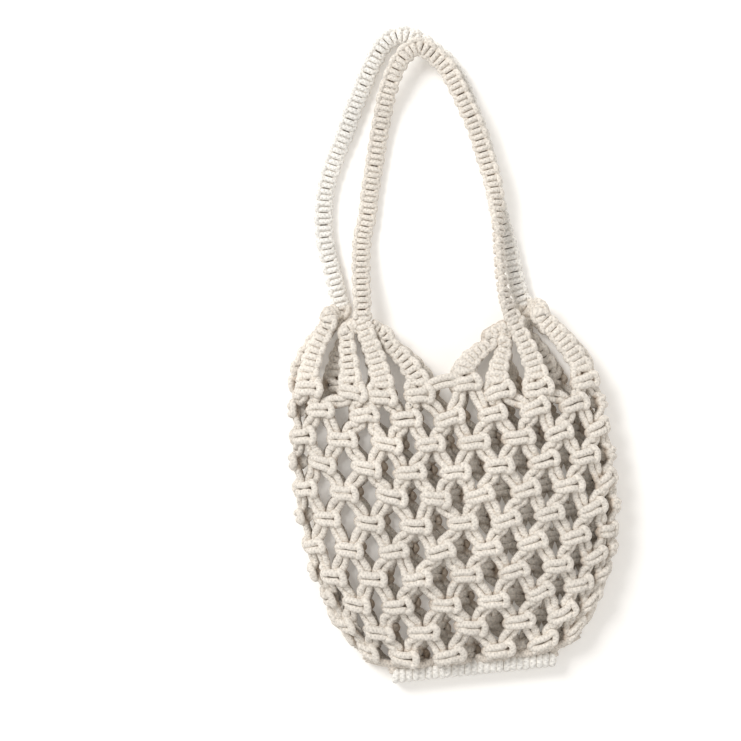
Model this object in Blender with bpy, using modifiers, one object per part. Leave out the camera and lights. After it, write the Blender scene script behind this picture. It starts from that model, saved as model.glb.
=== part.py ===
"""A macramé shoulder bag of thick cotton cord, lying flat with its handles laid in an arch.

The net is one tube of square knots worked in the round: eight columns of knots across the front and
eight across the back. A seam closes its lower edge. Sixteen short columns of knots, called sinnets, fan
out above its rim, four to each end of the two handles. +Y points from the seam to the handles, +Z is up,
and the back of the net lies on the ground.
"""

import bmesh
import bpy
import numpy as np

# Sizes of the bag, in metres
BODY_WIDTH = 0.281         # widest place of the net
BODY_DEPTH = 0.050         # thickness of the lying net at its belly
NET_HEIGHT = 0.2244        # from the first row of knots to the last
NET_WALL = 0.010           # thickness of the knotted wall
SEAM_LENGTH = 0.140
SEAM_HEIGHT = 0.0135
SEAM_DEPTH = 0.020
SEAM_ROUND = 0.0040        # rounded edges of the seam
HANDLE_SPAN = 0.281        # the across column of the handle tables counts in this
HANDLE_RISE = 0.316        # from the first row of knots to the top of the handles
STRAP_WIDTH = 0.0170
STRAP_THICKNESS = 0.0110
SINNET_WIDTH = 0.0200
SINNET_THICKNESS = 0.0100
KNOT_WIDTH = 0.0250        # a knot of the net, across its two bars
KNOT_HEIGHT = 0.0200
KNOT_SIDE = 0.0080         # the straight side of a knot beside a gap
SIDE_RISE = 0.020          # how far the rows run up towards the left side
CORNER_RISE = 0.038        # how far the last row runs up towards both lower corners
EDGE_ROUND = 0.0035        # rounded edges of straps and sinnets
SEAT_GAP = 0.0003          # gap between two pieces that touch

# The pattern of the net
COLUMNS = 16               # knots in a row, all the way round
ROWS = 10                  # rows of knots below the first one
OPEN_ROWS = 8              # rows of gaps that are cut through
END_ROW = 10.34            # where the net meets its seam, counted in rows
FOLD_SHARE = 0.42          # height of the side folds, as a share of the depth
TOP_FULLNESS = 2.6         # exponent of the crowned front, higher is boxier
BACK_SHIFT = 0.5           # how far right of the front's columns the back's stand at most, in columns
SHIFT_ROWS = 3.0           # rows below the rim over which that shift grows

# Colours, as linear values
CORD_CREAM = (0.80, 0.76, 0.68, 1.0)

# Sections of the net: row of knots, half width and depth as shares of BODY_WIDTH / 2 and BODY_DEPTH,
# crowding (0 spreads the columns evenly, 1 crowds them towards the sides), side rise and corner rise
# as shares of SIDE_RISE and CORNER_RISE
SECTION_COLUMNS = ("row", "width", "depth", "crowding", "side_rise", "corner_rise")
BODY_SECTIONS = (
    (0.0, 0.955, 0.86, 0.00, 1.0, 0.00),
    (1.0, 0.970, 0.90, 0.00, 1.0, 0.00),
    (2.0, 0.980, 0.95, 0.00, 1.0, 0.00),
    (3.0, 0.990, 1.00, 0.00, 1.0, 0.00),
    (4.0, 1.000, 1.00, 0.00, 1.0, 0.00),
    (5.0, 0.990, 1.00, 0.05, 0.9, 0.00),
    (6.0, 0.970, 0.98, 0.15, 0.7, 0.04),
    (7.0, 0.935, 0.93, 0.30, 0.4, 0.16),
    (8.0, 0.890, 0.86, 0.45, 0.2, 0.36),
    (9.0, 0.840, 0.76, 0.65, 0.0, 0.62),
    (10.0, 0.765, 0.66, 0.85, 0.0, 1.00),
    (END_ROW, 0.500, 0.56, 1.00, 0.0, 0.00),
)

# Routes of the handles: across as a share of HANDLE_SPAN, up as a share of HANDLE_RISE, height above the
# ground in strap thicknesses, and the turn of the flat strap about its own run in degrees
HANDLE_COLUMNS = ("across", "up", "height", "turn")
HANDLE_BACK = (
    (-0.289, 0.250, 0.50, 0),
    (-0.295, 0.299, 0.50, 0),
    (-0.306, 0.360, 0.50, 0),
    (-0.315, 0.436, 0.50, 0),
    (-0.313, 0.504, 0.50, 0),
    (-0.295, 0.583, 0.50, 0),
    (-0.258, 0.661, 0.50, 0),
    (-0.220, 0.725, 0.50, 0),
    (-0.178, 0.802, 0.50, 0),
    (-0.140, 0.866, 0.50, 0),
    (-0.096, 0.930, 0.50, 0),
    (-0.058, 0.964, 0.50, 0),
    (-0.012, 0.973, 0.50, 0),
    (0.035, 0.953, 0.50, 0),
    (0.079, 0.916, 0.50, 0),
    (0.117, 0.878, 0.50, 0),
    (0.145, 0.826, 0.50, 0),
    (0.162, 0.771, 0.50, 0),
    (0.184, 0.701, 0.50, 0),
    (0.201, 0.632, 0.50, 0),
    (0.213, 0.555, 0.50, 0),
    (0.219, 0.481, 0.50, 0),
    (0.232, 0.412, 0.50, 0),
    (0.245, 0.335, 0.50, 0),
    (0.254, 0.262, 0.50, 0),
    (0.272, 0.203, 0.50, 0),
)
HANDLE_FRONT = (
    (-0.227, 0.206, 2.10, 0),
    (-0.223, 0.266, 1.95, 0),
    (-0.216, 0.346, 1.30, 0),
    (-0.204, 0.426, 0.75, 0),
    (-0.181, 0.492, 0.55, 0),
    (-0.164, 0.558, 0.55, 0),
    (-0.144, 0.623, 0.55, 0),
    (-0.124, 0.689, 0.60, 0),
    (-0.105, 0.747, 0.75, 0),
    (-0.087, 0.799, 1.05, 0),
    (-0.066, 0.846, 1.45, 0),
    (-0.036, 0.892, 1.65, 0),
    (-0.002, 0.921, 1.65, 0),
    (0.036, 0.930, 1.65, 0),
    (0.072, 0.903, 1.65, 0),
    (0.104, 0.868, 1.65, 0),
    (0.131, 0.814, 1.65, 0),
    (0.150, 0.766, 1.65, 0),
    (0.175, 0.696, 1.65, 0),
    (0.191, 0.627, 1.65, 0),
    (0.206, 0.550, 1.80, 15),
    (0.210, 0.482, 1.98, 45),
    (0.208, 0.415, 2.05, 75),
    (0.204, 0.347, 2.15, 80),
    (0.202, 0.280, 2.20, 80),
    (0.207, 0.220, 2.30, 60),
    (0.225, 0.165, 2.30, 30),
)

# Upper ends of the sinnets, from left to right: across and up as in the handle tables, height of a front
# one in sinnet thicknesses, and width there as a share of SINNET_WIDTH
SINNET_COLUMNS = ("across", "up", "height", "width")
SINNET_HEADS = (
    (-0.332, 0.232, 2.15, 0.68),
    (-0.281, 0.190, 2.30, 0.62),
    (-0.222, 0.186, 2.30, 0.70),
    (-0.160, 0.165, 2.20, 0.58),
    (0.150, 0.135, 2.20, 0.48),
    (0.193, 0.120, 2.30, 0.54),
    (0.262, 0.148, 2.30, 0.68),
    (0.312, 0.190, 2.15, 0.80),
)
BACK_HEAD_HEIGHT = 0.5     # height of the upper ends of the back sinnets, in sinnet thicknesses
STRAIGHT_END = 0.004       # straight ends of a sinnet
MIDDLE_LEAN = 0.10         # how far its middle lies towards its foot, as a share of the way across
# The sinnets that end at a handle: layer and number, then the end of that handle
CARRIERS = {("front", 3): 0, ("front", 7): -1, ("back", 1): 0, ("back", 8): -1}

# Knots of the first row on the front, from left to right: how far each sits off its even place along the
# row and down, as shares of a column and of a row
RIM_COLUMNS = ("shift", "drop")
RIM_FRONT = (
    (0.20, 0.20),
    (0.25, 0.20),
    (0.00, 0.25),
    (-0.15, 0.10),
    (0.00, -0.20),
    (-0.25, 0.25),
    (-0.30, 0.25),
    (-0.15, 0.15),
)
BRIDGE_KNOTS = (3,)        # front knots of the first row that a bridge of cord ties to the next on the right
BRIDGE_ARCH = 0.3          # rise of the bridge's middle, in rows
COLUMN_STRETCH = 1.08      # the faces are crowned, so their columns are wider than in a flat net
RIM_EDGE = 0.6             # flat top of a rim knot, as a share of its width


def column(table, columns, name):
    """One named column of a table, as an array."""
    return np.array([row[columns.index(name)] for row in table], float)


def section(row, name):
    """A section value between two rows of the table, by straight interpolation."""
    rows = column(BODY_SECTIONS, SECTION_COLUMNS, "row")
    return np.interp(row, rows, column(BODY_SECTIONS, SECTION_COLUMNS, name))


def round_line(half_width, depth, front):
    """Points across one face of the net, from its left fold to its right fold, seen along Y.

    The front is a superellipse crown over the folds. The back is flat on the ground and turns up into
    the folds by a quarter ellipse.
    """
    fold = FOLD_SHARE * depth
    angle = np.linspace(np.pi, 0.0, 181)
    if front:
        power = 2.0 / TOP_FULLNESS
        x = half_width * np.sign(np.cos(angle)) * np.abs(np.cos(angle)) ** power
        return x, fold + (depth - fold) * np.sin(angle) ** power
    side = np.linspace(0.0, np.pi / 2.0, 31)
    flat = half_width - fold
    left = -flat - fold * np.cos(side)
    low = fold - fold * np.sin(side)
    middle = np.linspace(-flat, flat, 61)[1:-1]
    return np.concatenate([left, middle, -left[::-1]]), np.concatenate([low, 0.0 * middle, low[::-1]])


def body_point(column_number, row):
    """Place on the outer face of the net. Columns count round from the left fold over the front."""
    turn = column_number % COLUMNS
    half = COLUMNS / 2.0
    front = turn <= half
    share = turn / half if front else (COLUMNS - turn) / half
    if not front:
        # A smooth shift: none at the folds and all of it two thirds of the way to the right
        shift = BACK_SHIFT / half * min(max(row / SHIFT_ROWS, 0.0), 1.0)
        share += shift * 6.75 * share ** 2 * (1.0 - share)
    from_middle = 2.0 * share - 1.0
    crowding = section(row, "crowding")
    share = (1.0 - crowding) * share + crowding * 0.5 * (1.0 + np.sin(np.pi / 2.0 * from_middle))
    half_width = 0.5 * BODY_WIDTH * section(row, "width")
    x, z = round_line(half_width, BODY_DEPTH * section(row, "depth"), front)
    run = np.concatenate([[0.0], np.cumsum(np.hypot(np.diff(x), np.diff(z)))])
    along = share * run[-1]
    left_side = max(-from_middle, 0.0)
    y = -row * NET_HEIGHT / ROWS
    y += SIDE_RISE * section(row, "side_rise") * np.sin(np.pi / 2.0 * left_side) ** 2
    y += CORNER_RISE * section(row, "corner_rise") * abs(from_middle) ** 3
    return np.array([np.interp(along, run, x), y, np.interp(along, run, z)])


def new_object(name, mesh, collection, material):
    """An object of the bag, in its collection and colour."""
    piece = bpy.data.objects.new(name, mesh)
    piece.data.materials.append(material)
    collection.objects.link(piece)
    return piece


def cord_material(name):
    """Plain cream cotton."""
    material = bpy.data.materials.new(name)
    material.use_nodes = True
    shader = material.node_tree.nodes["Principled BSDF"]
    shader.inputs["Base Color"].default_value = CORD_CREAM
    shader.inputs["Roughness"].default_value = 0.9
    shader.inputs["Metallic"].default_value = 0.0
    return material


def smooth_route(points, steps):
    """A Catmull-Rom curve through the rows of an array, with so many steps from each row to the next."""
    before = np.vstack([2.0 * points[0] - points[1], points, 2.0 * points[-1] - points[-2]])
    out = []
    for index in range(len(points) - 1):
        a, b, c, d = before[index:index + 4]
        for t in np.linspace(0.0, 1.0, steps, endpoint=False):
            out.append(0.5 * (2.0 * b + (c - a) * t + (2.0 * a - 5.0 * b + 4.0 * c - d) * t ** 2
                              + (3.0 * b - a - 3.0 * c + d) * t ** 3))
    return np.array(out + [points[-1]])


def flat_profile(name, width, thickness, collection):
    """The closed section of a flat strap with its four corners cut: a guide that isn't part of the bag."""
    half_w = width / 2.0
    half_t = thickness / 2.0
    cut = min(EDGE_ROUND, 0.9 * half_w, 0.9 * half_t)
    corners = ((half_w - cut, half_t), (half_w, half_t - cut),
               (half_w, cut - half_t), (half_w - cut, -half_t),
               (cut - half_w, -half_t), (-half_w, cut - half_t),
               (-half_w, half_t - cut), (cut - half_w, half_t))
    curve = bpy.data.curves.new(name, "CURVE")
    curve.dimensions = "2D"
    line = curve.splines.new("POLY")
    line.points.add(len(corners) - 1)
    for point, corner in zip(line.points, corners):
        point.co = (*corner, 0.0, 1.0)
    line.use_cyclic_u = True
    guide = bpy.data.objects.new(name, curve)
    guide.hide_render = True
    guide.display_type = "WIRE"
    collection.objects.link(guide)
    return guide


def strap(name, route, profile, collection, material):
    """A flat strap swept along a route whose rows are x, y, z, turn in radians and width factor."""
    curve = bpy.data.curves.new(name, "CURVE")
    curve.dimensions = "3D"
    curve.twist_mode = "Z_UP"
    curve.bevel_mode = "OBJECT"
    curve.bevel_object = profile
    curve.use_fill_caps = True
    line = curve.splines.new("POLY")
    line.points.add(len(route) - 1)
    for point, (x, y, z, turn, width) in zip(line.points, route):
        point.co = (x, y, z, 1.0)
        point.tilt = turn
        point.radius = width
    return new_object(name, curve, collection, material)


def handle_route(table, steps):
    """The smooth route of a handle from its table."""
    across = HANDLE_SPAN * column(table, HANDLE_COLUMNS, "across")
    up = HANDLE_RISE * column(table, HANDLE_COLUMNS, "up")
    height = STRAP_THICKNESS * column(table, HANDLE_COLUMNS, "height")
    turn = np.radians(column(table, HANDLE_COLUMNS, "turn"))
    return smooth_route(np.column_stack([across, up, height, turn, np.ones(len(table))]), steps)


def knot_shares():
    """Half sizes of a knot of the net: width in columns, then height and straight side in rows."""
    pitch = COLUMN_STRETCH * 2.0 * BODY_WIDTH / COLUMNS
    row_pitch = NET_HEIGHT / ROWS
    return 0.5 * KNOT_WIDTH / pitch, 0.5 * KNOT_HEIGHT / row_pitch, 0.5 * KNOT_SIDE / row_pitch


def knot_place(row, number):
    """Column and row where the middle of a knot sits."""
    if row % 2:
        return float(number), float(row)
    place, level = number + 0.5, float(row)
    if row == 0 and number < len(RIM_FRONT):
        value = dict(zip(RIM_COLUMNS, RIM_FRONT[number]))
        place, level = place + value["shift"], level + value["drop"]
    return place, level


def knot_corners(row, number):
    """Corners of a knot as columns and rows, anticlockwise from outside. A rim knot has a flat top."""
    side, tall, straight = knot_shares()
    place, level = knot_place(row, number)
    corners = {
        "upper_left": (place - side, level - straight),
        "lower_left": (place - side, level + straight),
        "bottom": (place, END_ROW if row == ROWS else level + tall),
        "lower_right": (place + side, level + straight),
        "upper_right": (place + side, level - straight),
    }
    if row == 0:
        corners["top_right"] = (place + RIM_EDGE * side, level - tall)
        corners["top_left"] = (place - RIM_EDGE * side, level - tall)
    else:
        corners["top"] = (place, level - tall)
    return corners


def rim_seat(number):
    """The top of a rim knot: its middle in the wall, the direction up out of it and the slope of its edge."""
    corners = knot_corners(0, number)
    ring = [body_point(*corner) for corner in corners.values()]
    outward = sum(np.cross(first, second) for first, second in zip(ring, ring[1:] + ring[:1]))
    outward /= np.linalg.norm(outward)
    left, right = body_point(*corners["top_left"]), body_point(*corners["top_right"])
    edge = (right - left) / np.linalg.norm(right - left)
    up = np.cross(outward, edge)
    slope = np.arctan2(edge[2], np.hypot(edge[0], edge[1]))
    return 0.5 * (left + right) - 0.5 * NET_WALL * outward, up / np.linalg.norm(up), slope


def sinnet_route(head, down, width, turn, number):
    """A sinnet's route from its upper end, which points down as given, to the top of its rim knot."""
    seat, up, slope = rim_seat(number)
    foot = seat + SEAT_GAP * up
    slope = slope if number < COLUMNS // 2 else -slope
    upper = head + STRAIGHT_END * down
    lower = foot + STRAIGHT_END * up
    middle = 0.5 * (upper + lower)
    middle[0] += MIDDLE_LEAN * (lower[0] - upper[0])
    points = smooth_route(np.array([
        [*upper, turn, width],
        [*middle, 0.5 * (turn - slope), 0.5 + 0.5 * width],
        [*lower, -slope, 1.0],
    ]), 3)
    return np.vstack([[*head, turn, width], points, [*foot, -slope, 1.0]])


def make_net(collection, material):
    """The net: a knot is a six-sided face, two knots of neighbouring rows share a leg between their slanting
    sides, and what lies between them is a gap. The sheet then gets its wall on the inner side."""
    mesh_builder = bmesh.new()
    straight = knot_shares()[2]

    def vertex(column_number, row):
        return mesh_builder.verts.new(body_point(column_number, row))

    knots = {}
    for row in range(ROWS + 1):
        for number in range(COLUMNS):
            corners = knot_corners(row, number)
            knots[row, number] = {name: vertex(*corner) for name, corner in corners.items()}

    def below(row, number, to_right):
        """The knot half a column to the left or right in the next row."""
        step = to_right if row % 2 == 0 else to_right - 1
        return knots[row + 1, (number + step) % COLUMNS]

    for (row, number), knot in knots.items():
        mesh_builder.faces.new(list(knot.values()))
        if row < ROWS:
            left = below(row, number, 0)
            right = below(row, number, 1)
            mesh_builder.faces.new([knot["lower_left"], left["top"], left["upper_right"], knot["bottom"]])
            mesh_builder.faces.new([knot["bottom"], right["upper_left"], right["top"], knot["lower_right"]])
        if row == 0:
            continue
        other = knots[row, (number + 1) % COLUMNS]
        middle = number + (1.0 if row % 2 == 0 else 0.5)
        if row == ROWS:
            end = vertex(middle, END_ROW)
            mesh_builder.faces.new([knot["lower_right"], knot["bottom"], end])
            mesh_builder.faces.new([knot["lower_right"], end, other["lower_left"]])
            mesh_builder.faces.new([end, other["bottom"], other["lower_left"]])
        on_fold = middle % (COLUMNS // 2) == 0
        if row <= OPEN_ROWS and not on_fold:
            continue
        upper = knots[row - 1, (number + (1 if row % 2 == 0 else 0)) % COLUMNS]
        ring = [upper["bottom"], knot["upper_right"], knot["lower_right"],
                other["lower_left"], other["upper_left"]]
        if row < ROWS:
            ring.insert(3, below(row, number, 1)["top"])
        hub = vertex(middle, row - straight if row == ROWS else row)
        for first, second in zip(ring, ring[1:] + ring[:1]):
            mesh_builder.faces.new([first, second, hub])
    for number in BRIDGE_KNOTS:
        left, right = knots[0, number], knots[0, number + 1]
        place, level = 0.5 * (np.array(knot_place(0, number)) + knot_place(0, number + 1))
        low = vertex(place, level - BRIDGE_ARCH + straight)
        high = vertex(place, level - BRIDGE_ARCH - straight)
        mesh_builder.faces.new([left["lower_right"], low, high, left["upper_right"]])
        mesh_builder.faces.new([low, right["lower_left"], right["upper_left"], high])
    mesh = bpy.data.meshes.new("net_body")
    mesh_builder.to_mesh(mesh)
    mesh_builder.free()
    net = new_object("net_body", mesh, collection, material)
    wall = net.modifiers.new("wall", "SOLIDIFY")
    wall.thickness = NET_WALL
    wall.offset = -1.0
    return net


def make_seam(collection, material):
    """The row of wraps along the bottom edge, as one bar with rounded edges and a flat underside."""
    bpy.ops.mesh.primitive_cube_add(size=1.0)
    seam = bpy.context.object
    seam.name = "bottom_seam"
    size = (SEAM_LENGTH, SEAM_HEIGHT, SEAM_DEPTH)
    top = body_point(COLUMNS / 4.0, END_ROW)[1] - SEAT_GAP
    for point in seam.data.vertices:
        for axis in range(3):
            point.co[axis] *= size[axis]
        point.co.y += top - SEAM_HEIGHT / 2.0
        point.co.z += SEAM_DEPTH / 2.0
    rounding = seam.modifiers.new("rounded", "BEVEL")
    rounding.width = SEAM_ROUND
    rounding.segments = 2
    for holder in list(seam.users_collection):
        holder.objects.unlink(seam)
    collection.objects.link(seam)
    seam.data.name = seam.name
    seam.data.materials.append(material)
    return seam


def make_sinnets(handles, profile, collection, material):
    """Sixteen sinnets. Those of the back lie under the front ones and follow the same table. The four that
    carry a handle end just below it, the others beside them."""
    sinnets = []
    for layer in ("front", "back"):
        for index, row in enumerate(SINNET_HEADS):
            value = dict(zip(SINNET_COLUMNS, row))
            height = value["height"] if layer == "front" else BACK_HEAD_HEIGHT
            head = np.array([HANDLE_SPAN * value["across"], HANDLE_RISE * value["up"],
                             SINNET_THICKNESS * height])
            down = np.array([0.0, -1.0, 0.0])
            turn = 0.0
            end = CARRIERS.get((layer, index + 1))
            if end is not None:
                last = handles[layer][end]
                before = handles[layer][1 if end == 0 else -2]
                down = (last[:3] - before[:3]) / np.linalg.norm(last[:3] - before[:3])
                head = last[:3] + SEAT_GAP * down
                turn = last[3]
            number = index if layer == "front" else COLUMNS - 1 - index
            route = sinnet_route(head, down, value["width"], turn, number)
            sinnets.append(strap(f"sinnet_{layer}_{index + 1}", route, profile, collection, material))
    return sinnets


def stand_on_origin(pieces):
    """Hangs all pieces on one empty, moved so that the origin is under the middle of the bag."""
    bpy.context.view_layer.update()
    graph = bpy.context.evaluated_depsgraph_get()
    corners = []
    for piece in pieces:
        shape = piece.evaluated_get(graph)
        corners += [tuple(shape.matrix_world @ vertex.co) for vertex in shape.to_mesh().vertices]
        shape.to_mesh_clear()
    corners = np.array(corners)
    middle = 0.5 * (corners.min(axis=0) + corners.max(axis=0))
    frame = bpy.data.objects.new("bag_frame", None)
    pieces[0].users_collection[0].objects.link(frame)
    frame.location = (-middle[0], -middle[1], -corners[:, 2].min())
    for piece in pieces:
        piece.parent = frame
    return frame


def main():
    for old in list(bpy.data.objects):
        bpy.data.objects.remove(old, do_unlink=True)
    bag = bpy.data.collections.new("macrame_bag")
    guides = bpy.data.collections.new("guides")
    for collection in (bag, guides):
        bpy.context.scene.collection.children.link(collection)
    strap_profile = flat_profile("strap_profile", STRAP_WIDTH, STRAP_THICKNESS, guides)
    sinnet_profile = flat_profile("sinnet_profile", SINNET_WIDTH, SINNET_THICKNESS, guides)
    handles = {"front": handle_route(HANDLE_FRONT, 2), "back": handle_route(HANDLE_BACK, 2)}
    pieces = [
        make_net(bag, cord_material("net_cord")),
        make_seam(bag, cord_material("seam_cord")),
        strap("handle_back", handles["back"], strap_profile, bag, cord_material("handle_cord_back")),
        strap("handle_front", handles["front"], strap_profile, bag, cord_material("handle_cord_front")),
    ]
    pieces += make_sinnets(handles, sinnet_profile, bag, cord_material("sinnet_cord"))
    stand_on_origin(pieces)


main()
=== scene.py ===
# %% [markdown]
# # A macramé shoulder bag, lying flat
# The real bag is knotted by hand from one thick cotton cord. Its body is a tube of square knots, sixteen in
# a row, and two handles and sixteen short columns of knots carry it. A knot could be modelled once and
# copied along a curve, but in macramé the cords of one knot run on into the next two. So this file lays
# every cord itself, as a tube along a line, over the places that the solids give. Lengths are in metres,
# and in the knot tables in cord diameters.

import bpy
import numpy as np
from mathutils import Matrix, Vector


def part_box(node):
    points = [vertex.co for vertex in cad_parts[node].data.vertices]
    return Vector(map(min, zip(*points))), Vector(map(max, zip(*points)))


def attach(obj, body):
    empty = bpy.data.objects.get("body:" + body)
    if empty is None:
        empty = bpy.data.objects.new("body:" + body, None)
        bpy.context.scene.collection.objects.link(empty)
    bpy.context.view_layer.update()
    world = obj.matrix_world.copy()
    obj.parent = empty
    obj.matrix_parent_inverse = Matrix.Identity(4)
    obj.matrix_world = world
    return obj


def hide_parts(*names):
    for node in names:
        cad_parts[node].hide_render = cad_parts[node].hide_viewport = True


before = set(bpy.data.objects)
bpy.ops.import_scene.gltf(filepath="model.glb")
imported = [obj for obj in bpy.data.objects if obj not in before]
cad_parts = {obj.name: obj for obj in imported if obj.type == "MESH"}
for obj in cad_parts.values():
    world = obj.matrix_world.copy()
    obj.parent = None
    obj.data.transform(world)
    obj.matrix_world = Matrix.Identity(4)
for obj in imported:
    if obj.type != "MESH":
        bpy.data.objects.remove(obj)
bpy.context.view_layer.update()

# %% [markdown]
# ## The camera
# The bag was photographed from straight above, slightly rolled. A long lens keeps the near handles and the
# floor at nearly the same scale. Its height is worked out from the millimetres that one pixel should show.

# %% Camera
MM_PER_PIXEL = 0.85
IMAGE_PIXELS = 741
LENS_MM = 85.0
SENSOR_MM = 36.0
CAMERA_ROLL = 6.0          # degrees
CAMERA_AIM = (-0.0617, -0.0115, 0.025)

camera = bpy.data.objects.new("camera", bpy.data.cameras.new("camera"))
camera.data.lens = LENS_MM
camera.data.sensor_width = SENSOR_MM
camera_height = 0.001 * MM_PER_PIXEL * IMAGE_PIXELS * LENS_MM / SENSOR_MM
camera.location = (CAMERA_AIM[0], CAMERA_AIM[1], CAMERA_AIM[2] + camera_height)
camera.rotation_euler = (0.0, 0.0, np.radians(-CAMERA_ROLL))
bpy.context.scene.collection.objects.link(camera)
bpy.context.scene.camera = camera
print("camera height above the bag in metres:", round(camera_height, 3))

# %% [markdown]
# ## Sizes and tables
# The solids stand for the same net, seam, handles and sinnets without their knots. These are their sizes
# and tables again, so that each cord lies inside the solid that it replaces. Change both together.

# %% Sizes
CORD = 0.006
BODY_WIDTH = 0.281
BODY_DEPTH = 0.050
NET_HEIGHT = 0.2244
SEAM_LENGTH = 0.140
SEAM_HEIGHT = 0.0135
SEAM_DEPTH = 0.020
SEAT_GAP = 0.0003
HANDLE_SPAN = 0.281
HANDLE_RISE = 0.316
STRAP_THICKNESS = 0.0110
SINNET_THICKNESS = 0.0100
SIDE_RISE = 0.020
CORNER_RISE = 0.038
COLUMNS = 16
ROWS = 10
END_ROW = 10.34
FOLD_SHARE = 0.42
TOP_FULLNESS = 2.6
BACK_SHIFT = 0.5
SHIFT_ROWS = 3.0
CORD_DEPTH = 0.0078        # the middle of the knots lies this far under the outer face of the net

# %% Cross sections of the body, from the rim down
SECTION_COLUMNS = ("row", "width", "depth", "crowding", "side_rise", "corner_rise")
BODY_SECTIONS = np.array((
    (0.0, 0.955, 0.86, 0.00, 1.0, 0.00),
    (1.0, 0.970, 0.90, 0.00, 1.0, 0.00),
    (2.0, 0.980, 0.95, 0.00, 1.0, 0.00),
    (3.0, 0.990, 1.00, 0.00, 1.0, 0.00),
    (4.0, 1.000, 1.00, 0.00, 1.0, 0.00),
    (5.0, 0.990, 1.00, 0.05, 0.9, 0.00),
    (6.0, 0.970, 0.98, 0.15, 0.7, 0.04),
    (7.0, 0.935, 0.93, 0.30, 0.4, 0.16),
    (8.0, 0.890, 0.86, 0.45, 0.2, 0.36),
    (9.0, 0.840, 0.76, 0.65, 0.0, 0.62),
    (10.0, 0.765, 0.66, 0.85, 0.0, 1.00),
    (END_ROW, 0.500, 0.56, 1.00, 0.0, 0.00),
))

# %% Routes of the handles: across, up, height and turn
HANDLE_BACK = np.array((
    (-0.289, 0.250, 0.50, 0),
    (-0.295, 0.299, 0.50, 0),
    (-0.306, 0.360, 0.50, 0),
    (-0.315, 0.436, 0.50, 0),
    (-0.313, 0.504, 0.50, 0),
    (-0.295, 0.583, 0.50, 0),
    (-0.258, 0.661, 0.50, 0),
    (-0.220, 0.725, 0.50, 0),
    (-0.178, 0.802, 0.50, 0),
    (-0.140, 0.866, 0.50, 0),
    (-0.096, 0.930, 0.50, 0),
    (-0.058, 0.964, 0.50, 0),
    (-0.012, 0.973, 0.50, 0),
    (0.035, 0.953, 0.50, 0),
    (0.079, 0.916, 0.50, 0),
    (0.117, 0.878, 0.50, 0),
    (0.145, 0.826, 0.50, 0),
    (0.162, 0.771, 0.50, 0),
    (0.184, 0.701, 0.50, 0),
    (0.201, 0.632, 0.50, 0),
    (0.213, 0.555, 0.50, 0),
    (0.219, 0.481, 0.50, 0),
    (0.232, 0.412, 0.50, 0),
    (0.245, 0.335, 0.50, 0),
    (0.254, 0.262, 0.50, 0),
    (0.272, 0.203, 0.50, 0),
))
HANDLE_FRONT = np.array((
    (-0.227, 0.206, 2.10, 0),
    (-0.223, 0.266, 1.95, 0),
    (-0.216, 0.346, 1.30, 0),
    (-0.204, 0.426, 0.75, 0),
    (-0.181, 0.492, 0.55, 0),
    (-0.164, 0.558, 0.55, 0),
    (-0.144, 0.623, 0.55, 0),
    (-0.124, 0.689, 0.60, 0),
    (-0.105, 0.747, 0.75, 0),
    (-0.087, 0.799, 1.05, 0),
    (-0.066, 0.846, 1.45, 0),
    (-0.036, 0.892, 1.65, 0),
    (-0.002, 0.921, 1.65, 0),
    (0.036, 0.930, 1.65, 0),
    (0.072, 0.903, 1.65, 0),
    (0.104, 0.868, 1.65, 0),
    (0.131, 0.814, 1.65, 0),
    (0.150, 0.766, 1.65, 0),
    (0.175, 0.696, 1.65, 0),
    (0.191, 0.627, 1.65, 0),
    (0.206, 0.550, 1.80, 15),
    (0.210, 0.482, 1.98, 45),
    (0.208, 0.415, 2.05, 75),
    (0.204, 0.347, 2.15, 80),
    (0.202, 0.280, 2.20, 80),
    (0.207, 0.220, 2.30, 60),
    (0.225, 0.165, 2.30, 30),
))

# %% Upper ends of the sinnets, and the knots of the rim
SINNET_COLUMNS = ("across", "up", "height", "width")
SINNET_HEADS = (
    (-0.332, 0.232, 2.15, 0.68),
    (-0.281, 0.190, 2.30, 0.62),
    (-0.222, 0.186, 2.30, 0.70),
    (-0.160, 0.165, 2.20, 0.58),
    (0.150, 0.135, 2.20, 0.48),
    (0.193, 0.120, 2.30, 0.54),
    (0.262, 0.148, 2.30, 0.68),
    (0.312, 0.190, 2.15, 0.80),
)
BACK_HEAD_HEIGHT = 0.5
CARRIERS = {("front", 3): 0, ("front", 7): -1, ("back", 1): 0, ("back", 8): -1}
BRIDGE_KNOTS = (3,)
BRIDGE_ARCH = 0.3
RIM_FRONT = ((0.20, 0.20), (0.25, 0.20), (0.00, 0.25), (-0.15, 0.10),
             (0.00, -0.20), (-0.25, 0.25), (-0.30, 0.25), (-0.15, 0.15))

# %% [markdown]
# ## The paths of the cords in one knot
# A square knot has two straight cords in its middle, the fillers. The working cord lays two bars over them,
# joined by a bight on the left. The wrapping cord runs behind the fillers twice and shows as one upright
# bump on the right. One could draw these paths as Bezier curves by hand. A short table of points is easier
# to read and to change, and a smooth curve through them does the rest. x runs to the right, y down the rows
# and z out of the bag, in cord diameters from the middle of the knot. Each table holds the upper half of a
# path, and the lower half mirrors it in y.

# %% Cords of a knot in the net
FILLER_HALF = np.array(((0.66, -1.30, 0.00), (0.50, -0.60, -0.02)))
WORKING_HALF = np.array(((1.55, -0.95, 0.10), (0.95, -0.58, 0.66), (0.35, -0.52, 0.80),
                         (-0.35, -0.52, 0.80), (-1.00, -0.50, 0.68), (-1.58, -0.38, 0.38)))
WORKING_MIDDLE = np.array(((-1.85, 0.00, 0.20),))
WRAPPING_HALF = np.array(((-1.52, -1.02, 0.30), (-1.15, -0.66, 0.05), (-0.80, -0.42, -0.60),
                          (0.00, -0.36, -0.90), (0.85, -0.52, -0.62), (1.18, -0.86, 0.12),
                          (1.52, -0.80, 0.78), (1.80, -0.32, 0.86)))

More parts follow.
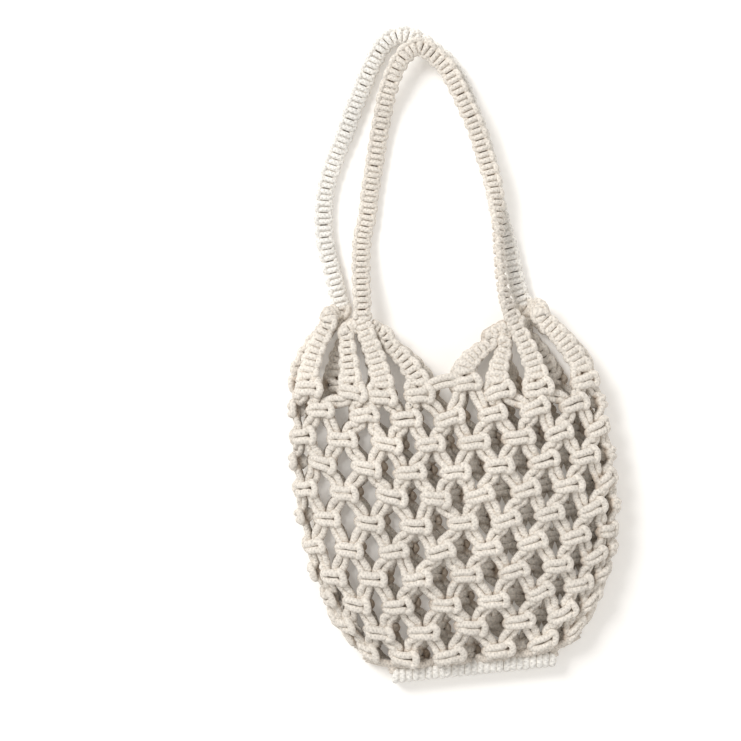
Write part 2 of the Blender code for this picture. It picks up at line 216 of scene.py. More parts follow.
# %% Cords of the same knot in a handle or sinnet, where it repeats every two diameters
CHAIN_WORKING = np.array((
    (0.90, -0.50, 0.70), (0.30, -0.50, 0.85), (-0.40, -0.50, 0.85), (-1.10, -0.47, 0.65),
    (-1.65, -0.33, 0.25), (-1.80, 0.00, 0.10), (-1.65, 0.33, 0.25), (-1.10, 0.47, 0.65),
    (-0.40, 0.50, 0.85), (0.30, 0.50, 0.85), (0.90, 0.50, 0.70), (1.42, 0.72, 0.10),
    (1.50, 1.00, -0.10), (1.42, 1.28, 0.10)))
CHAIN_WRAPPING = np.array((
    (1.70, -0.42, 0.75), (1.80, 0.00, 0.92), (1.70, 0.42, 0.75), (1.35, 0.80, 0.15),
    (0.85, 0.70, -0.60), (0.00, 0.58, -0.90), (-0.85, 0.62, -0.60), (-1.35, 0.82, -0.05),
    (-1.50, 1.00, 0.30), (-1.35, 1.18, -0.05), (-0.85, 1.38, -0.60), (0.00, 1.42, -0.90),
    (0.85, 1.30, -0.60), (1.35, 1.20, 0.15)))
CHAIN_PITCH = 2.0
print("points in a knot of the net:", 2 * (2 * len(FILLER_HALF) + len(WORKING_HALF) + len(WRAPPING_HALF)) + 1)

# %% [markdown]
# ## The outer face of the net
# The net is a soft tube that lies flat: crowned on top, flat on the ground and folded at both sides. It is a
# function of two parameters, the column round the bag and the row down it. The cords need it at thousands
# of places, so it is worked out once on a fine grid, and they read it between the grid lines.

# %% The shape of one row
GRID_STEPS = 16            # grid lines from one column to the next
ROW_STEPS = 8              # grid lines from one row to the next
GRID_TOP = -3.0            # first and last row of the grid
GRID_END = 12.0


def section(row, name):
    """A value of the body at a row: the straight line between the two rows of the table beside it."""
    return np.interp(row, BODY_SECTIONS[:, 0], BODY_SECTIONS[:, SECTION_COLUMNS.index(name)])


def face_line(half_width, depth, front):
    """The front or back face from the left fold to the right one, seen along the bag.

    The front is a superellipse: the cosine and sine of an angle, both to the power 2 / TOP_FULLNESS.
    The back is a straight line with a quarter of a circle at each fold.
    """
    fold = FOLD_SHARE * depth
    if front:
        angle = np.linspace(np.pi, 0.0, 361)
        power = 2.0 / TOP_FULLNESS
        x = half_width * np.sign(np.cos(angle)) * np.abs(np.cos(angle)) ** power
        return x, fold + (depth - fold) * np.sin(angle) ** power
    side = np.linspace(0.0, np.pi / 2.0, 61)
    flat = half_width - fold
    left = -flat - fold * np.cos(side)
    low = fold - fold * np.sin(side)
    middle = np.linspace(-flat, flat, 61)[1:-1]
    return np.concatenate([left, middle, -left[::-1]]), np.concatenate([low, 0.0 * middle, low[::-1]])


# %% Places along one row
def grid_row(row, columns):
    """A column's share of the face's length gives x and z. The row times its pitch, raised at the left
    fold and in the corners, gives y."""
    half = COLUMNS / 2.0
    front = columns <= half
    share = np.where(front, columns, COLUMNS - columns) / half
    shift = BACK_SHIFT / half * np.clip(row / SHIFT_ROWS, 0.0, 1.0)
    share = np.where(front, share, share + shift * 6.75 * share ** 2 * (1.0 - share))
    from_middle = 2.0 * share - 1.0
    crowding = section(row, "crowding")
    share = (1.0 - crowding) * share + crowding * 0.5 * (1.0 + np.sin(np.pi / 2.0 * from_middle))
    places = np.zeros((len(columns), 3))
    for side, on_side in ((True, front), (False, ~front)):
        x, z = face_line(0.5 * BODY_WIDTH * section(row, "width"), BODY_DEPTH * section(row, "depth"), side)
        run = np.concatenate([[0.0], np.cumsum(np.hypot(np.diff(x), np.diff(z)))])
        along = share[on_side] * run[-1]
        places[on_side, 0] = np.interp(along, run, x)
        places[on_side, 2] = np.interp(along, run, z)
    rise = SIDE_RISE * section(row, "side_rise") * np.sin(np.pi / 2.0 * np.maximum(-from_middle, 0.0)) ** 2
    corner = CORNER_RISE * section(row, "corner_rise") * np.abs(from_middle) ** 3
    places[:, 1] = -row * NET_HEIGHT / ROWS + rise + corner
    return places


# %% The grid
grid_columns = np.arange(COLUMNS * GRID_STEPS + 1) / GRID_STEPS
grid_rows = np.arange(int((GRID_END - GRID_TOP) * ROW_STEPS) + 1) / ROW_STEPS + GRID_TOP
seam_top = -END_ROW * NET_HEIGHT / ROWS - SEAT_GAP
bag_shift = np.array([0.0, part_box("bottom_seam")[1][1] - seam_top, 0.0])
knot_rows = np.minimum(grid_rows, float(ROWS))
face_grid = np.array([grid_row(row, grid_columns) for row in knot_rows]) + bag_shift
# Below the last row the face runs straight on, so that the last knots keep their shape
last = int((ROWS - GRID_TOP) * ROW_STEPS)
step = (face_grid[last] - face_grid[last - ROW_STEPS]) * (0.5, 1.0, 1.0)
face_grid[last:] = face_grid[last] + (grid_rows[last:, None, None] - ROWS) * step
ahead = np.concatenate([face_grid[:, 1:], face_grid[:, 1:2]], axis=1)
behind = np.concatenate([face_grid[:, -2:-1], face_grid[:, :-1]], axis=1)
across_grid = (ahead - behind) * GRID_STEPS / 2.0
down_grid = np.gradient(face_grid, axis=0) * ROW_STEPS
outward_grid = np.cross(down_grid, across_grid)
outward_grid /= np.linalg.norm(outward_grid, axis=-1, keepdims=True)
print("rows and columns of the grid:", face_grid.shape[:2])


# %% Reading between the grid lines
def read_grid(grid, columns, rows):
    """The mean of the four values around, each counted by how near it is. Columns run round and round."""
    x = (columns % COLUMNS) * GRID_STEPS
    y = np.clip((rows - GRID_TOP) * ROW_STEPS, 0.0, len(grid_rows) - 1.001)
    x0, y0 = np.floor(x).astype(int), np.floor(y).astype(int)
    fx, fy = (x - x0)[..., None], (y - y0)[..., None]
    x1 = np.minimum(x0 + 1, grid.shape[1] - 1)
    upper = grid[y0, x0] * (1.0 - fx) + grid[y0, x1] * fx
    lower = grid[y0 + 1, x0] * (1.0 - fx) + grid[y0 + 1, x1] * fx
    return upper * (1.0 - fy) + lower * fy


def net_place(columns, rows, out):
    """The face, moved along its outward direction by out less CORD_DEPTH, in metres."""
    outward = read_grid(outward_grid, columns, rows)
    outward /= np.linalg.norm(outward, axis=-1, keepdims=True)
    return read_grid(face_grid, columns, rows) + (out - CORD_DEPTH)[..., None] * outward


# %% [markdown]
# ## Cords as tubes
# A curve object with a round bevel would also make a cord. Here many hundred cords follow places that are
# computed, so the tubes are computed too: all cords of a piece at once, as arrays of lines by rings by
# sides. Each ring is turned as little as can be from the last one, which keeps the braid from twisting.

# %% Lines and rings
def unit(vectors):
    """Vectors divided by their own length."""
    return vectors / np.maximum(np.linalg.norm(vectors, axis=-1, keepdims=True), 1e-12)


def smooth_lines(points, steps):
    """Catmull-Rom lines: between b and c a cubic in t, whose slope at each is half of the step from the
    point before to the point after. The array is lines x points x 3, with an extra point at each end."""
    t = np.arange(steps)[:, None] / steps
    a, b, c, d = (points[:, i:points.shape[1] - 3 + i, None, :] for i in range(4))
    inside = 0.5 * (2.0 * b + (c - a) * t + (2.0 * a - 5.0 * b + 4.0 * c - d) * t ** 2
                    + (3.0 * b - a - 3.0 * c + d) * t ** 3)
    inside = inside.reshape(points.shape[0], -1, 3)
    return np.concatenate([inside, points[:, -2:-1]], axis=1)


def tubes(lines, radius, sides):
    """Rings of vertices: the line plus the radius times the cosine of an angle along one side and its
    sine along the other. The first side is the last ring's one, less its part along the line."""
    tangent = unit(np.gradient(lines, axis=1))
    frame_x = np.empty_like(lines)
    start = np.broadcast_to(np.array([0.0, 0.0, 1.0]), lines[:, 0].shape)
    for index in range(lines.shape[1]):
        t = tangent[:, index]
        start = unit(start - np.sum(start * t, axis=-1, keepdims=True) * t)
        frame_x[:, index] = start
    frame_y = np.cross(tangent, frame_x)
    angle = 2.0 * np.pi * np.arange(sides) / sides
    around = (np.cos(angle)[:, None] * frame_x[:, :, None] + np.sin(angle)[:, None] * frame_y[:, :, None])
    return lines[:, :, None] + radius * around


# %% [markdown]
# ## From rings to a mesh
# Each pair of rings is joined by four-sided faces, and a fan of triangles closes each end. The UV map runs
# once round the cord and counts diameters along it, so the braid stays as fine on every cord. The depth
# value lets the material paint shade into the creases, where real cords press together and light hardly
# gets in.

# %% Faces of many tubes
class CordMesh:
    """Gathers the vertices, faces, UV places and depths of tubes."""

    def __init__(self):
        self.vertices, self.crease_shade_depths = [], []
        self.quads, self.quad_uvs, self.fans, self.fan_uvs = [], [], [], []
        self.count = self.tubes = 0
        self.length = 0.0

    def add(self, rings, depth):
        """Rings are lines x rings x sides x 3. Depth sets the painted crease shade: 0 in the deepest crease
        and
        1 on top. A vertex has the number of those before it, and v is the length so far over the diameter of
        the cord."""
        depth = np.broadcast_to(depth, rings.shape[:3])
        lines, steps, sides, _ = rings.shape
        number = np.arange(lines * steps * sides).reshape(lines, steps, sides) + self.count
        turned = np.roll(number, -1, axis=2)
        corners = [number[:, :-1], turned[:, :-1], turned[:, 1:], number[:, 1:]]
        self.quads.append(np.stack(corners, -1).reshape(-1, 4))
        middle = rings.mean(axis=2)
        length = np.linalg.norm(np.diff(middle, axis=1), axis=-1)
        along = np.concatenate([np.zeros((lines, 1)), np.cumsum(length, axis=1)], axis=1) / CORD
        # Each cord starts at another place of the braid
        along += 7.31 * np.arange(lines)[:, None] + 3.17 * self.tubes
        u = np.broadcast_to(np.arange(sides) / sides, (lines, steps - 1, sides))
        low = np.broadcast_to(along[:, :-1, None], u.shape)
        high = np.broadcast_to(along[:, 1:, None], u.shape)
        right = u + 1.0 / sides
        self.quad_uvs.append(np.stack([u, low, right, low, right, high, u, high], -1).reshape(-1, 2))
        hubs = self.count + number.size + np.arange(2 * lines).reshape(2, lines, 1)
        hubs = np.broadcast_to(hubs, (2, lines, sides))
        self.fans.append(np.stack([turned[:, 0], number[:, 0], hubs[0]], -1).reshape(-1, 3))
        self.fans.append(np.stack([number[:, -1], turned[:, -1], hubs[1]], -1).reshape(-1, 3))
        for end in (0, -1):
            v = np.broadcast_to(along[:, end, None], (lines, sides))
            u = np.broadcast_to(np.arange(sides) / sides, v.shape)
            self.fan_uvs.append(np.stack([u, v, u + 1.0 / sides, v, u, v], -1).reshape(-1, 2))
        self.vertices += [rings.reshape(-1, 3), middle[:, 0], middle[:, -1]]
        self.crease_shade_depths += [depth.reshape(-1), depth[:, 0].mean(axis=1), depth[:, -1].mean(axis=1)]
        self.count += number.size + 2 * lines
        self.length += length.sum()
        self.tubes += 1


# %% One mesh from all faces
def build_mesh(name, cords):
    """The four-sided faces come first, then the triangles. A face starts at four or three corners times
    the number of faces before it."""
    vertices, quads, fans = (np.concatenate(part) for part in (cords.vertices, cords.quads, cords.fans))
    mesh = bpy.data.meshes.new(name)
    mesh.vertices.add(len(vertices))
    mesh.vertices.foreach_set("co", vertices.ravel())
    mesh.loops.add(quads.size + fans.size)
    mesh.loops.foreach_set("vertex_index", np.concatenate([quads.ravel(), fans.ravel()]))
    mesh.polygons.add(len(quads) + len(fans))
    starts = np.concatenate([4 * np.arange(len(quads)), quads.size + 3 * np.arange(len(fans))])
    mesh.polygons.foreach_set("loop_start", starts)
    mesh.polygons.foreach_set("use_smooth", np.ones(len(starts), dtype=bool))
    mesh.update(calc_edges=True)
    uv_map = mesh.uv_layers.new(name="cord")
    uv_map.data.foreach_set("uv", np.concatenate(cords.quad_uvs + cords.fan_uvs).ravel())
    # The depth value carries the painted crease shade to the material
    depth = mesh.attributes.new("depth", "FLOAT", "POINT")
    depth.data.foreach_set("value", np.concatenate(cords.crease_shade_depths))
    mesh.validate()
    return mesh


# %% [markdown]
# ## Cotton
# The cord is undyed cotton, braided round a soft core. The eye sees a matt, slightly woolly surface with a
# faint criss-cross of plies, warmer and darker where cords press together: that shade is painted into the
# colour, and so is the shade in the grooves of the braid. The braid could be modelled ply by ply, at a
# hundred times the faces. A pattern that follows each cord's own UV map is enough here. A real ply is about
# 1 mm wide, finer than the render shows, so it is drawn coarser.

# %% Two helpers for materials
def linear(colour):
    """A hex colour of the screen as linear values: small ones are divided by 12.92, and the others are
    ((value + 0.055) / 1.055) to the power 2.4."""
    values = np.array([int(colour[i:i + 2], 16) for i in (1, 3, 5)]) / 255.0
    values = np.where(values <= 0.04045, values / 12.92, ((values + 0.055) / 1.055) ** 2.4)
    return (*values, 1.0)


def add_node(tree, kind, values=(), links=(), **settings):
    """A node with its settings, then its socket values, then its links, both by input name or number."""
    node = tree.nodes.new(kind)
    for name, value in settings.items():
        setattr(node, name, value)
    for socket, value in values:
        node.inputs[socket].default_value = value
    for socket, source in links:
        tree.links.new(source, node.inputs[socket])
    return node


# %% Sizes of the pattern
BRAID_AROUND = 3.0         # waves of the braid round the cord
BRAID_ALONG = 0.0030       # length of one wave along the cord
PATCH_SIZE = 0.045         # size of the faint patches of tone, as in undyed cotton
FLUFF_SIZE = 0.0018        # size of the woolly bumps
BUMP_DEPTH = 0.00022
FLUFF_DEPTH = 0.0004
print("waves of the braid in one diameter along the cord:", CORD / BRAID_ALONG)


# %% Undyed cotton cord, braided
def cotton(name, light, painted_crease_shade):
    """The braid is the greater of two slanting sine waves. The colour is mixed from the painted crease shade
    to the lit colour by the depth value, then multiplied by the patches, the fluff and the braid, which
    paints shade into its own grooves."""
    material = bpy.data.materials.new(name)
    material.use_nodes = True
    tree = material.node_tree
    shader = tree.nodes["Principled BSDF"]
    shader.inputs["Roughness"].default_value = 0.92
    shader.inputs["Specular IOR Level"].default_value = 0.25
    shader.inputs["Sheen Weight"].default_value = 0.25
    shader.inputs["Sheen Roughness"].default_value = 0.5
    uv = add_node(tree, "ShaderNodeUVMap", uv_map="cord").outputs[0]
    place = add_node(tree, "ShaderNodeTexCoord").outputs["Object"]
    depth = add_node(tree, "ShaderNodeAttribute", attribute_name="depth").outputs["Fac"]
    patches = add_node(tree, "ShaderNodeTexNoise", [("Scale", 1.0 / PATCH_SIZE), ("Detail", 3.0)],
                       [("Vector", place)])
    fluff = add_node(tree, "ShaderNodeTexNoise", [("Scale", 1.0 / FLUFF_SIZE), ("Detail", 3.0)],
                     [("Vector", place)])
    plies = []
    for lean in (CORD / BRAID_ALONG, -CORD / BRAID_ALONG):
        # A slanting wave: the sine of round and along together, and of round less along
        phase = add_node(tree, "ShaderNodeVectorMath",
                         [(1, (2.0 * np.pi * BRAID_AROUND, 2.0 * np.pi * lean, 0.0))],
                         [(0, uv)], operation="DOT_PRODUCT")
        plies.append(add_node(tree, "ShaderNodeMath", (), [(0, phase.outputs["Value"])],
                              operation="SINE").outputs[0])
    braid = add_node(tree, "ShaderNodeMath", (), [(0, plies[0]), (1, plies[1])], operation="MAXIMUM")
    # Painted crease shade: a low depth value mixes in the darker crease colour
    tone = add_node(tree, "ShaderNodeMapRange", [("From Min", 0.2), ("From Max", 0.8)], [("Value", depth)])
    # Inputs 6 and 7 and output 2 of a Mix node are its colours A, B and result
    colour = add_node(tree, "ShaderNodeMix", (), [("Factor", tone.outputs[0])], data_type="RGBA")
    colour.inputs[6].default_value = linear(painted_crease_shade)
    colour.inputs[7].default_value = linear(light)
    shade = add_node(tree, "ShaderNodeMapRange", [("From Min", 0.3), ("From Max", 0.7), ("To Min", 0.90),
                                                  ("To Max", 1.04)], [("Value", patches.outputs["Fac"])])
    # Painted shade in the braid's grooves: the colour is darkest where the braid wave is lowest
    braid_groove_shade = add_node(tree, "ShaderNodeMapRange", [("From Min", -1.0), ("From Max", 1.0), ("To Min", 0.78),
                                                ("To Max", 1.0)], [("Value", braid.outputs[0])])
    grain = add_node(tree, "ShaderNodeMapRange", [("From Min", 0.35), ("From Max", 0.65), ("To Min", 0.84),
                                                  ("To Max", 1.08)], [("Value", fluff.outputs["Fac"])])
    worn = add_node(tree, "ShaderNodeMath", (), [(0, shade.outputs[0]), (1, grain.outputs[0])],
                    operation="MULTIPLY")
    both = add_node(tree, "ShaderNodeMath", (), [(0, worn.outputs[0]), (1, braid_groove_shade.outputs[0])],
                    operation="MULTIPLY")
    scaled = add_node(tree, "ShaderNodeVectorMath", (), [(0, colour.outputs[2]), ("Scale", both.outputs[0])],
                      operation="SCALE")
    tree.links.new(scaled.outputs[0], shader.inputs["Base Color"])
    braid_bump = add_node(tree, "ShaderNodeBump", [("Strength", 0.55), ("Distance", BUMP_DEPTH)],
                          [("Height", braid.outputs[0])])
    fluff_bump = add_node(tree, "ShaderNodeBump", [("Strength", 0.5), ("Distance", FLUFF_DEPTH)],
                          [("Height", fluff.outputs["Fac"]), ("Normal", braid_bump.outputs[0])])
    tree.links.new(fluff_bump.outputs[0], shader.inputs["Normal"])
    return material


# Matt and slightly warm. The seam and the back handle are the palest cords in the photograph. The back
# handle's paler cotton is painted light, as it lies in the light, and the front handle's darker one is
# painted shade.
# The second colour of each is the painted crease shade
plain_cotton = cotton("undyed cotton cord, braided", "#ece4d9", "#a68b6d")
pale_cotton = cotton("pale undyed cotton cord, braided", "#faf6ef", "#aa967f")


# %% A finished piece
def piece(name, cords, material, nodes):
    """An object at the origin that stands for nodes of the solids. Prints its faces and its length of
    cord, which is the sum of the steps from ring to ring."""
    result = bpy.data.objects.new(name, build_mesh(name, cords))
    result.data.materials.append(material)
    bpy.context.scene.collection.objects.link(result)
    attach(result, "root")
    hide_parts(*nodes)
    print(f"{name}: {len(result.data.polygons)} faces, {cords.length:.2f} m of cord")
    return result


# %% [markdown]
# ## The net
# Every knot of a row shares its four cords with the two knots below it: the left pair runs down to one and
# the right pair to the other. A real net is one long chain of such pairs. Here each knot has its own four
# tubes, which meet those of the next knot halfway along the leg between them, at a shared place and in a
# shared direction. That way all knots are worked out at once, and none has to know more than its
# neighbours. The knots are turned, sized and shifted a little at random, as knots pulled tight by hand are.

# %% Sizes of the cords in the net
NET_SIDES = 8
NET_STEPS = 3
NET_RADIUS = 0.53 * CORD
LEG_SPREAD = 0.53          # the two cords of a leg lie this far to each side of its middle, in diameters
LEG_TWIST = 0.20           # and one over the other by this much
RIGHT_LEAN = 18.0          # degrees that the knots near the right side of the front lean
STRAY = 0.05               # how far single points of a cord stray, in diameters
LEG_LAP = 0.15             # the cords of two knots reach this far into each other where they meet
random = np.random.default_rng(7)

# %% Places of all knots, as columns and rows
row_of = np.repeat(np.arange(ROWS + 1), COLUMNS)
number_of = np.tile(np.arange(COLUMNS), ROWS + 1)
knot_column = number_of + np.where(row_of % 2 == 0, 0.5, 0.0)
knot_row = row_of.astype(float)
for number, (shift, drop) in enumerate(RIM_FRONT):
    knot_column[number] += shift
    knot_row[number] += drop
pitch_across = np.linalg.norm(read_grid(across_grid, knot_column, knot_row), axis=-1)
shallow_row = np.minimum(knot_row, ROWS - 0.3)
pitch_down = np.linalg.norm(read_grid(down_grid, knot_column, shallow_row), axis=-1)
pitch = np.stack([pitch_across, pitch_down], axis=-1)
places = np.stack([knot_column, knot_row], axis=-1)
print("knots:", len(places), "mean pitch across and down in mm:", (1000.0 * pitch.mean(axis=0)).round(1))


# %% Legs between two knots
def neighbour(down, right):
    """Numbers of the knots one row below or above, to the left or right. In an even row they are the
    knot's own number and the next one, and in an odd row the one before and its own."""
    even = row_of % 2 == 0
    beside = (number_of + np.where(even, right, right - 1)) % COLUMNS
    return np.clip(row_of + down, 0, ROWS) * COLUMNS + beside


def shared_leg(down, right):
    """Places of two cords halfway along a leg, and the leg's direction, in diameters from the knot. Each is
    half of the way to the other knot, plus or minus LEG_SPREAD to the side."""
    other = neighbour(down, right)
    apart = places[other] - places
    apart[:, 0] = (apart[:, 0] + COLUMNS / 2) % COLUMNS - COLUMNS / 2
    mean_pitch = 0.5 * (pitch + pitch[other])
    run = unit(apart * mean_pitch) * down
    side = np.stack([run[:, 1], -run[:, 0]], axis=-1)
    middle = 0.5 * apart
    offset = LEG_SPREAD * CORD * side / mean_pitch
    over = LEG_TWIST * down * (2 * right - 1)
    return [np.column_stack([(middle + sign * offset) * pitch / CORD, np.full(len(run), sign * over)])
            for sign in (-1.0, 1.0)], np.column_stack([run, np.zeros(len(run))])


def fixed_ends(x_places, y, count):
    """Ends that don't lead to another knot, at x_places side by side and the same y."""
    return [np.tile([x, y, 0.0], (count, 1)) for x in x_places]


# %% Both ends of each cord
upper_left, run_upper_left = shared_leg(-1, 0)
upper_right, run_upper_right = shared_leg(-1, 1)
lower_left, run_lower_left = shared_leg(1, 0)
lower_right, run_lower_right = shared_leg(1, 1)
straight_down = np.tile([0.0, 1.0, 0.0], (len(row_of), 1))
first_row = (row_of == 0)[:, None]
last_row = (row_of == ROWS)[:, None]
rim = fixed_ends((-1.05, -0.38, 0.38, 1.05), -2.1, len(row_of))
hem = fixed_ends((-1.25, -0.45, 0.45, 1.25), 1.25, len(row_of))
# The four cords from left to right: wrapping, filler, filler, working
entries = [np.where(first_row, edge, leg) for edge, leg in
           zip(rim, (upper_left[0], upper_left[1], upper_right[0], upper_right[1]))]
exits = [np.where(last_row, edge, leg) for edge, leg in
         zip(hem, (lower_left[0], lower_left[1], lower_right[0], lower_right[1]))]
entry_runs = [np.where(first_row, straight_down, run) for run in
              (run_upper_left, run_upper_left, run_upper_right, run_upper_right)]
exit_runs = [np.where(last_row, straight_down, run) for run in
             (run_lower_left, run_lower_left, run_lower_right, run_lower_right)]

# %% The four cords of a knot, and how the knots differ
mirror = np.array([1.0, -1.0, 1.0])
insides = [
    np.concatenate([WRAPPING_HALF, WRAPPING_HALF[::-1] * mirror]),
    np.concatenate([FILLER_HALF, FILLER_HALF[::-1] * mirror]) * (-1.0, 1.0, 1.0),
    np.concatenate([FILLER_HALF, FILLER_HALF[::-1] * mirror]),
    np.concatenate([WORKING_HALF, WORKING_MIDDLE, WORKING_HALF[::-1] * mirror]),
]
NOMINAL_PITCH = 0.0345
narrowing = np.clip(pitch_across / NOMINAL_PITCH, 0.62, 1.0)
to_right = np.where(knot_column < COLUMNS / 2, np.clip(knot_column / 4.0 - 1.0, 0.0, 1.0), 0.0)
turns = np.radians(random.normal(0.0, 7.0, len(row_of)) - RIGHT_LEAN * to_right)
sizes = 1.0 + random.normal(0.0, 0.045, (len(row_of), 3))
shifts = random.normal(0.0, 0.10, (len(row_of), 3))
print("turns of the knots in degrees, least and most:", np.degrees([turns.min(), turns.max()]).round(1))


# %% The cords of many knots
def net_cords(chosen):
    """The cords of the chosen knots. A point is sized, turned (x cos - y sin, x sin + y cos) and shifted.
    Then x over the pitch is added to the column, and y over the pitch to the row."""
    cords = CordMesh()
    turn = turns[chosen]
    for inside, entry, exit_, run_in, run_out in zip(insides, entries, exits, entry_runs, exit_runs):
        middle = inside[None] * sizes[chosen][:, None]
        middle = middle + random.normal(0.0, STRAY, middle.shape)
        x = middle[..., 0] * np.cos(turn)[:, None] - middle[..., 1] * np.sin(turn)[:, None]
        y = middle[..., 0] * np.sin(turn)[:, None] + middle[..., 1] * np.cos(turn)[:, None]
        middle = np.stack([x * narrowing[chosen][:, None], y, middle[..., 2]], axis=-1)
        middle += shifts[chosen][:, None]
        first, final = entry[chosen][:, None], exit_[chosen][:, None]
        # The extra points at both ends make the cords of two knots run on in one line where they meet
        points = np.concatenate([middle[:, :1] - 2.0 * run_in[chosen][:, None], first, middle, final,
                                 middle[:, -1:] + 2.0 * run_out[chosen][:, None]], axis=1)
        lines = smooth_lines(points, NET_STEPS)
        lines[:, 0] -= LEG_LAP * run_in[chosen]
        lines[:, -1] += LEG_LAP * run_out[chosen]
        rings = tubes(lines * CORD, NET_RADIUS, NET_SIDES)
        own = (slice(None), None, None)
        column = knot_column[chosen][own] + rings[..., 0] / pitch_across[chosen][own]
        row = knot_row[chosen][own] + rings[..., 1] / pitch_down[chosen][own]
        # Painted crease shade: the depth value is lowest where a cord lies deep in the knot and near its
        # middle
        on_leg = np.clip(np.abs(rings[..., 1]) / CORD - 0.8, 0.0, 0.7)
        depth = np.clip(0.35 + 0.55 * np.abs(rings[..., 2]) / CORD + 0.5 * on_leg, 0.0, 1.0)
        # Rows run down, so this frame is left-handed, and the rings go the other way to face outward
        cords.add(net_place(column, row, rings[..., 2])[:, :, ::-1], depth[:, :, ::-1])
    return cords


# %% [markdown]
# ## The lower and upper edge of the net
# At the bottom the last knots' cords run in between the wraps of the seam, so each gets a short tail. At
# the top one real stretch of cord bridges two knots of the rim. Both are plain tubes laid on smooth lines,
# as there is no knot to follow.

# %% Tails and the bridge
def hem_tails(chosen):
    """A smooth line from the end of each cord of a last knot, through the middle of both, into the seam."""
    starts, ends = [], []
    for index, offset in enumerate((-0.36, -0.12, 0.12, 0.36)):
        local = exits[index][chosen] * CORD
        column = knot_column[chosen] + local[:, 0] / pitch_across[chosen]
        row = knot_row[chosen] + local[:, 1] / pitch_down[chosen]
        starts.append(net_place(column, row, local[:, 2]))
        ends.append(grid_row(END_ROW, (knot_column[chosen] + offset) % COLUMNS) + bag_shift)
    starts, ends = np.concatenate(starts), np.concatenate(ends)
    inward = np.where(ends[:, 2] > 0.5 * SEAM_DEPTH, -1.0, 1.0) * CORD_DEPTH
    ends[:, 2] = np.clip(ends[:, 2] + inward, 0.0045, SEAM_DEPTH - 0.0045)
    ends[:, 1] -= 0.004
    up = np.array([0.0, 0.006, 0.0])
    before = starts + unit(starts - ends) * 0.006
    centre = 0.5 * (starts + ends) + 0.3 * up
    points = np.stack([before, starts, centre, ends + up, ends, ends - up], axis=1)
    return tubes(smooth_lines(points, 4), NET_RADIUS, NET_SIDES)


def bridge_cords(number):
    """Two cords side by side, from the middle of a rim knot to the next one. They rise by BRIDGE_ARCH rows
    times the sine of half a turn."""
    first, second = places[number], places[number + 1]
    share = np.array((-0.12, 0.08, 0.28, 0.50, 0.72, 0.92, 1.12))
    rise = BRIDGE_ARCH * np.sin(np.pi * np.clip(share, 0.0, 1.0)) ** 0.8
    columns = first[0] + share * (second[0] - first[0])
    rows = first[1] + share * (second[1] - first[1]) - rise
    out = CORD * np.array((-0.6, 0.1, 0.5, 0.6, 0.5, 0.1, -0.6))
    apart = 0.5 * CORD / pitch_down[number]
    points = np.stack([net_place(columns, rows + side * apart, out) for side in (-1.0, 1.0)])
    return tubes(smooth_lines(points, 5), 0.5 * CORD, NET_SIDES)


# %% The net in two pieces
on_front = (knot_column % COLUMNS) < COLUMNS / 2
on_front[(row_of % 2 == 1) & (number_of == 0)] = True
for name, chosen in (("net_front", on_front), ("net_back", ~on_front)):
    cords = net_cords(chosen)
    # The tails and the bridge get a fixed depth value, so a little painted crease shade
    cords.add(hem_tails(chosen & (row_of == ROWS)), 0.7)
    for number in BRIDGE_KNOTS:
        if chosen[number]:
            cords.add(bridge_cords(number), 0.8)
    piece(name, cords, plain_cotton, ["net_body"])

# %% [markdown]
# ## The seam
# The tube is closed at the bottom by winding the cord round both edges, turn by turn. A helix would be the
# true path, but only its separate turns show, so each turn is a closed loop with rounded corners.

# %% Turns of cord round the lower edge
WRAPS = 25
WRAP_RADIUS = 0.56 * CORD
WRAP_POINTS = 20

turn_angle = 2.0 * np.pi * np.arange(-1, WRAP_POINTS + 2) / WRAP_POINTS
squareness = 0.6
half_y = 0.5 * SEAM_HEIGHT - WRAP_RADIUS + 0.001
half_z = 0.5 * SEAM_DEPTH - WRAP_RADIUS
wrap_y = half_y * np.sign(np.cos(turn_angle)) * np.abs(np.cos(turn_angle)) ** squareness
wrap_z = half_z * np.sign(np.sin(turn_angle)) * np.abs(np.sin(turn_angle)) ** squareness
wrap_x = np.linspace(-0.5, 0.5, WRAPS) * (SEAM_LENGTH - CORD)
lean = 0.12 * CORD
seam_middle = np.array([0.0, bag_shift[1] + seam_top - 0.5 * SEAM_HEIGHT + 0.001, 0.5 * SEAM_DEPTH])
wraps = np.stack([wrap_x[:, None] + random.normal(0.0, 0.0003, (WRAPS, 1)) + lean * np.cos(turn_angle),
                  np.tile(wrap_y, (WRAPS, 1)), np.tile(wrap_z, (WRAPS, 1))], axis=-1)
wraps *= np.array([1.0, 1.0, 1.0]) + random.normal(0.0, 0.05, (WRAPS, 1, 3)) * (0.0, 1.0, 0.4)
seam_cords = CordMesh()
seam_rings = tubes(smooth_lines(wraps, 2), WRAP_RADIUS, NET_SIDES) + seam_middle
# A fixed depth value gives the wraps a little painted crease shade
seam_cords.add(seam_rings, 0.85)
piece("seam_wraps", seam_cords, pale_cotton, ["bottom_seam"])

# %% [markdown]
# ## Handles and sinnets
# A sinnet is one column of square knots, tied one below the other over the same fillers. The handles are two
# long ones. A modelled knot could be copied along a curve with an Array and a Curve modifier, but then its
# cords would break at each copy. Here one long line runs through all knots of a column, and is then bent
# along the column's route: across it, out of it and along it. The fillers don't show and are left out.

# %% Routes
STRAP_SIDES = 8


def smooth_route(points, steps):
    """The solids' own route through the rows of an array: Catmull-Rom lines for the place, and for the
    turn and width too."""
    ends = np.vstack([2.0 * points[0] - points[1], points, 2.0 * points[-1] - points[-2]])
    extra = points.shape[1] - 3
    parts = [smooth_lines(ends[None, :, :3], steps)[0]]
    if extra:
        rest = np.column_stack([ends[:, 3:], np.zeros((len(ends), 3 - extra))])
        parts.append(smooth_lines(rest[None], steps)[0][:, :extra])
    return np.column_stack(parts)


